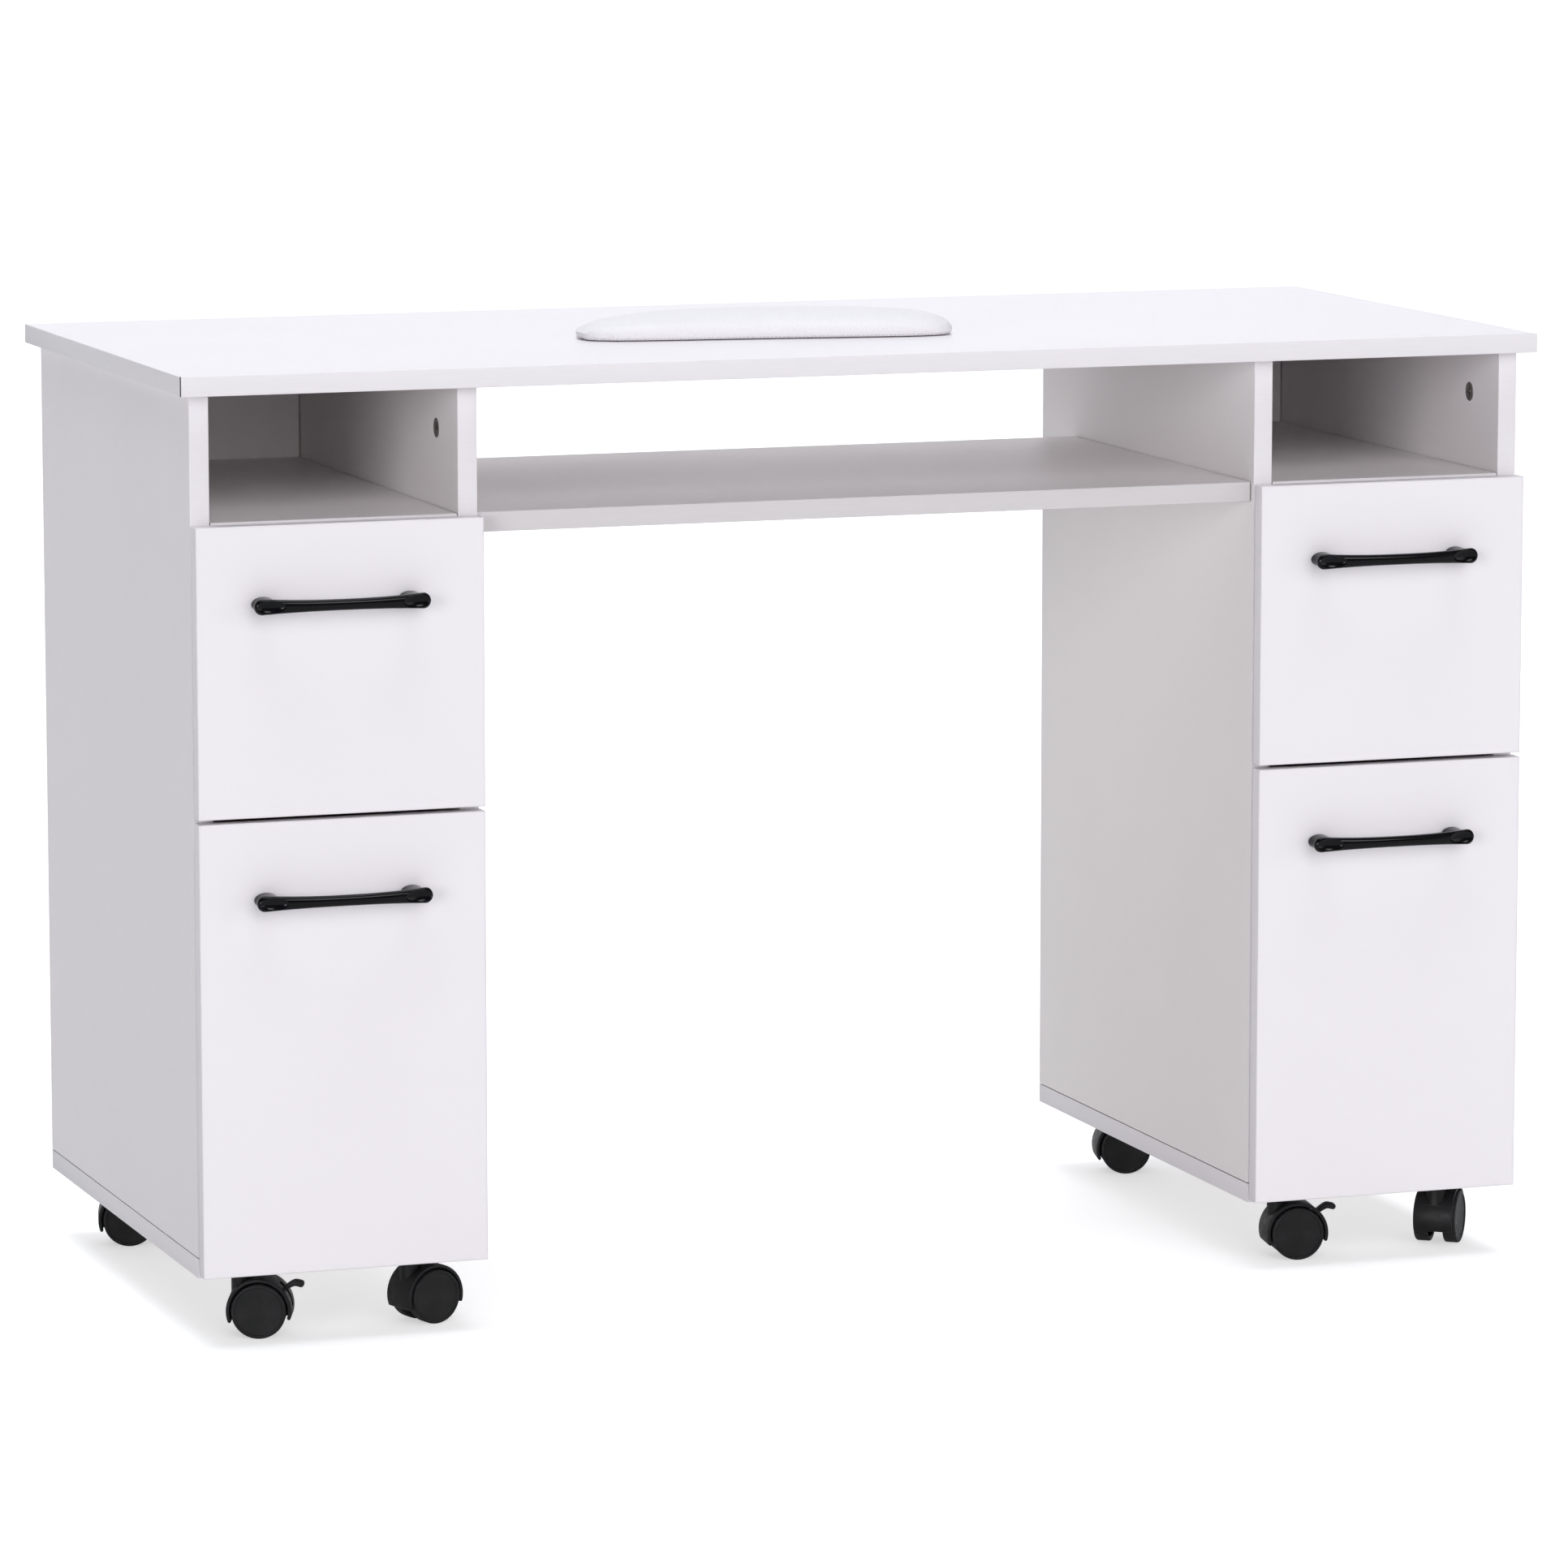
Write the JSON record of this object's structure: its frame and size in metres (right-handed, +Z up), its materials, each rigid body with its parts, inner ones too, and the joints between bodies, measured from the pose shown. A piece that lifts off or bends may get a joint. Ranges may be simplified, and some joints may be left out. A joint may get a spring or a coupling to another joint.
{
  "type": "manicure table",
  "caption": "Manicure desk on casters: flat top with a padded wrist rest, two pedestals with an open cubby and two drawers each, and a shelf between them.",
  "frame": {"origin": "on the floor, below the middle of the whole table's bounding box", "axes": "+X along the table's length to the right as seen from the drawers' side, -Y towards the drawer fronts and handles, +Z up"},
  "size_m": [1.12, 0.5146, 0.7713],
  "materials": {
    "melamine": "white melamine-faced particle board, fine satin texture",
    "drawer_board": "matt white foil-wrapped drawer board",
    "leatherette": "white grained leatherette",
    "handle_black": "satin black lacquer",
    "caster_black": "moulded black nylon, fine grain",
    "zinc_steel": "zinc-plated steel",
    "rail_white": "white epoxy-coated steel"
  },
  "bodies": {
    "table": {"centre_shelf": "melamine", "left_back_panel": "melamine", "left_bottom_panel": "melamine", "left_cubby_floor": "melamine", "left_front_left_caster_mount": "zinc_steel", "left_front_right_caster_mount": "zinc_steel", "left_inner_side": "melamine", "left_lower_drawer_rail_left": "rail_white", "left_lower_drawer_rail_right": "rail_white", "left_outer_side": "melamine", "left_rear_left_caster_mount": "zinc_steel", "left_rear_right_caster_mount": "zinc_steel", "left_upper_drawer_rail_left": "rail_white", "left_upper_drawer_rail_right": "rail_white", "right_back_panel": "melamine", "right_bottom_panel": "melamine", "right_cubby_floor": "melamine", "right_front_left_caster_mount": "zinc_steel", "right_front_right_caster_mount": "zinc_steel", "right_inner_side": "melamine", "right_lower_drawer_rail_left": "rail_white", "right_lower_drawer_rail_right": "rail_white", "right_outer_side": "melamine", "right_rear_left_caster_mount": "zinc_steel", "right_rear_right_caster_mount": "zinc_steel", "right_upper_drawer_rail_left": "rail_white", "right_upper_drawer_rail_right": "rail_white", "tabletop": "melamine", "wrist_cushion": "leatherette"},
    "left_upper_drawer": {"left_upper_drawer_front": "melamine", "left_upper_drawer_box": "drawer_board", "left_upper_drawer_handle": "handle_black"},
    "left_lower_drawer": {"left_lower_drawer_front": "melamine", "left_lower_drawer_box": "drawer_board", "left_lower_drawer_handle": "handle_black"},
    "right_upper_drawer": {"right_upper_drawer_front": "melamine", "right_upper_drawer_box": "drawer_board", "right_upper_drawer_handle": "handle_black"},
    "right_lower_drawer": {"right_lower_drawer_front": "melamine", "right_lower_drawer_box": "drawer_board", "right_lower_drawer_handle": "handle_black"},
    "left_front_left_caster_swivel": {"left_front_left_caster_hood": "caster_black"},
    "left_front_left_caster_roller": {"left_front_left_caster_wheels": "caster_black"},
    "left_front_left_caster_brake": {"left_front_left_caster_brake_lever": "caster_black"},
    "left_front_right_caster_swivel": {"left_front_right_caster_hood": "caster_black"},
    "left_front_right_caster_roller": {"left_front_right_caster_wheels": "caster_black"},
    "left_rear_left_caster_swivel": {"left_rear_left_caster_hood": "caster_black"},
    "left_rear_left_caster_roller": {"left_rear_left_caster_wheels": "caster_black"},
    "left_rear_right_caster_swivel": {"left_rear_right_caster_hood": "caster_black"},
    "left_rear_right_caster_roller": {"left_rear_right_caster_wheels": "caster_black"},
    "right_front_left_caster_swivel": {"right_front_left_caster_hood": "caster_black"},
    "right_front_left_caster_roller": {"right_front_left_caster_wheels": "caster_black"},
    "right_front_left_caster_brake": {"right_front_left_caster_brake_lever": "caster_black"},
    "right_front_right_caster_swivel": {"right_front_right_caster_hood": "caster_black"},
    "right_front_right_caster_roller": {"right_front_right_caster_wheels": "caster_black"},
    "right_rear_left_caster_swivel": {"right_rear_left_caster_hood": "caster_black"},
    "right_rear_left_caster_roller": {"right_rear_left_caster_wheels": "caster_black"},
    "right_rear_right_caster_swivel": {"right_rear_right_caster_hood": "caster_black"},
    "right_rear_right_caster_roller": {"right_rear_right_caster_wheels": "caster_black"}
  },
  "joints": [
    {"name": "left_upper_drawer_slide", "type": "slide", "parent": "table", "child": "left_upper_drawer", "axis": [0, -1, 0], "range_m": [0, 0.3]},
    {"name": "left_lower_drawer_slide", "type": "slide", "parent": "table", "child": "left_lower_drawer", "axis": [0, -1, 0], "range_m": [0, 0.3]},
    {"name": "right_upper_drawer_slide", "type": "slide", "parent": "table", "child": "right_upper_drawer", "axis": [0, -1, 0], "range_m": [0, 0.3]},
    {"name": "right_lower_drawer_slide", "type": "slide", "parent": "table", "child": "right_lower_drawer", "axis": [0, -1, 0], "range_m": [0, 0.3]},
    {"name": "left_front_left_caster_swivel_turn", "type": "hinge", "parent": "table", "child": "left_front_left_caster_swivel", "pos_m": [-0.5055, -0.1792, 0.0482], "axis": [0, 0, 1], "continuous": true},
    {"name": "left_front_left_caster_wheel_spin", "type": "hinge", "parent": "left_front_left_caster_swivel", "child": "left_front_left_caster_roller", "pos_m": [-0.49239, -0.1841, 0.0213], "axis": [0.3502, 0.9367, 0], "continuous": true},
    {"name": "left_front_left_caster_brake_press", "type": "hinge", "parent": "left_front_left_caster_swivel", "child": "left_front_left_caster_brake", "pos_m": [-0.48021, -0.18866, 0.0343], "axis": [0.3502, 0.9367, 0], "range_deg": [0, 24]},
    {"name": "left_front_right_caster_swivel_turn", "type": "hinge", "parent": "table", "child": "left_front_right_caster_swivel", "pos_m": [-0.3705, -0.1812, 0.0482], "axis": [0, 0, 1], "continuous": true},
    {"name": "left_front_right_caster_wheel_spin", "type": "hinge", "parent": "left_front_right_caster_swivel", "child": "left_front_right_caster_roller", "pos_m": [-0.35711, -0.17711, 0.0213], "axis": [-0.2924, 0.9563, 0], "continuous": true},
    {"name": "left_rear_left_caster_swivel_turn", "type": "hinge", "parent": "table", "child": "left_rear_left_caster_swivel", "pos_m": [-0.514, 0.1888, 0.0482], "axis": [0, 0, 1], "continuous": true},
    {"name": "left_rear_left_caster_wheel_spin", "type": "hinge", "parent": "left_rear_left_caster_swivel", "child": "left_rear_left_caster_roller", "pos_m": [-0.50042, 0.18541, 0.0213], "axis": [0.2419, 0.9703, 0], "continuous": true},
    {"name": "left_rear_right_caster_swivel_turn", "type": "hinge", "parent": "table", "child": "left_rear_right_caster_swivel", "pos_m": [-0.368, 0.1928, 0.0482], "axis": [0, 0, 1], "continuous": true},
    {"name": "left_rear_right_caster_wheel_spin", "type": "hinge", "parent": "left_rear_right_caster_swivel", "child": "left_rear_right_caster_roller", "pos_m": [-0.38036, 0.19937, 0.0213], "axis": [-0.4695, -0.8829, 0], "continuous": true},
    {"name": "right_front_left_caster_swivel_turn", "type": "hinge", "parent": "table", "child": "right_front_left_caster_swivel", "pos_m": [0.3635, -0.1792, 0.0482], "axis": [0, 0, 1], "continuous": true},
    {"name": "right_front_left_caster_wheel_spin", "type": "hinge", "parent": "right_front_left_caster_swivel", "child": "right_front_left_caster_roller", "pos_m": [0.3773, -0.18154, 0.0213], "axis": [0.1668, 0.986, 0], "continuous": true},
    {"name": "right_front_left_caster_brake_press", "type": "hinge", "parent": "right_front_left_caster_swivel", "child": "right_front_left_caster_brake", "pos_m": [0.39012, -0.1837, 0.0343], "axis": [0.1668, 0.986, 0], "range_deg": [0, 24]},
    {"name": "right_front_right_caster_swivel_turn", "type": "hinge", "parent": "table", "child": "right_front_right_caster_swivel", "pos_m": [0.505, -0.1782, 0.0482], "axis": [0, 0, 1], "continuous": true},
    {"name": "right_front_right_caster_wheel_spin", "type": "hinge", "parent": "right_front_right_caster_swivel", "child": "right_front_right_caster_roller", "pos_m": [0.51343, -0.16702, 0.0213], "axis": [-0.7986, 0.6018, 0], "continuous": true},
    {"name": "right_rear_left_caster_swivel_turn", "type": "hinge", "parent": "table", "child": "right_rear_left_caster_swivel", "pos_m": [0.366, 0.1958, 0.0482], "axis": [0, 0, 1], "continuous": true},
    {"name": "right_rear_left_caster_wheel_spin", "type": "hinge", "parent": "right_rear_left_caster_swivel", "child": "right_rear_left_caster_roller", "pos_m": [0.37958, 0.19241, 0.0213], "axis": [0.2419, 0.9703, 0], "continuous": true},
    {"name": "right_rear_right_caster_swivel_turn", "type": "hinge", "parent": "table", "child": "right_rear_right_caster_swivel", "pos_m": [0.504, 0.1928, 0.0482], "axis": [0, 0, 1], "continuous": true},
    {"name": "right_rear_right_caster_wheel_spin", "type": "hinge", "parent": "right_rear_right_caster_swivel", "child": "right_rear_right_caster_roller", "pos_m": [0.50205, 0.17894, 0.0213], "axis": [0.9903, -0.1392, 0], "continuous": true}
  ]
}
